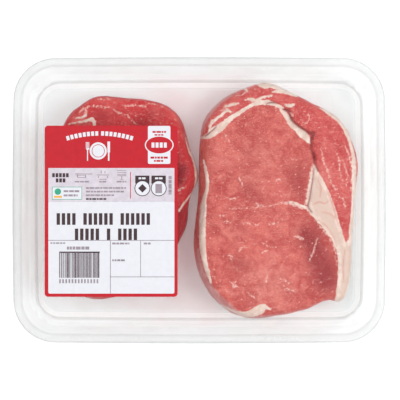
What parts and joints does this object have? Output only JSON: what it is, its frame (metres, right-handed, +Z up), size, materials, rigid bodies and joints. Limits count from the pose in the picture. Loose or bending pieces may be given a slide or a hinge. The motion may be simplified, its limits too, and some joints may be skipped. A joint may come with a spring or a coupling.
{
  "type": "sealed tray pack of raw beef steaks",
  "caption": "Clear rectangular plastic tray sealed with clear film, with a paper label on top and raw beef steaks lying side by side inside.",
  "frame": {"origin": "centre of the tray's footprint, on the plane of the flat foot that it stands on", "axes": "+X along the tray's long side towards the larger steak, +Y across it towards the label's red band, +Z up through the film lid"},
  "size_m": [0.228, 0.175, 0.0372],
  "materials": {
    "tray_plastic": "clear, slightly hazy, smooth",
    "lid_film": "clear, glossy film",
    "label_paper": "semi-gloss printed paper",
    "raw_beef": "moist"
  },
  "bodies": {
    "root": {"tray": "tray_plastic", "film_lid": "lid_film", "label": "label_paper", "steak_right": "raw_beef", "steak_left": "raw_beef"}
  },
  "joints": []
}
